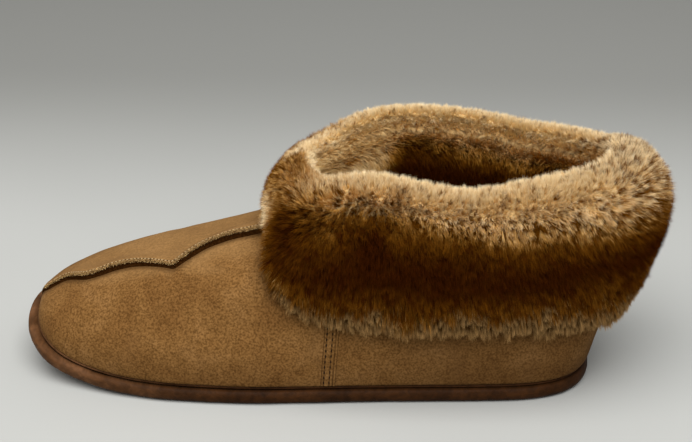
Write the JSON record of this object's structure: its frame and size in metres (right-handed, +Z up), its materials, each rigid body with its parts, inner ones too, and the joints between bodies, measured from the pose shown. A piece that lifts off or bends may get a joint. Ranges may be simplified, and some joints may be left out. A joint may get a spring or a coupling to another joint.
{
  "type": "shearling slipper",
  "caption": "Ankle-high left slipper of tan suede with a turned-down sheepskin cuff, fleece inside, a rounded leather rand and a soft flat sole.",
  "frame": {"origin": "on the floor, half way along the sole and on its axis, in the flat spot under the ball of the foot", "axes": "+Z up; the toe points along -X and the heel along +X; the outer (lateral) side faces -Y"},
  "size_m": [0.3085, 0.1064, 0.1181],
  "materials": {
    "outsole": "brushed brown sole leather",
    "rand": "smooth reddish-brown leather, slightly worn",
    "insole": "light golden wool pile",
    "upper": "tan suede outside, wool inside",
    "cuff": "dark brown sheepskin pile with light golden tips on the roll"
  },
  "bodies": {
    "root": {"outsole": "outsole", "rand": "rand", "insole": "insole", "upper": "upper", "cuff": "cuff"}
  },
  "joints": []
}
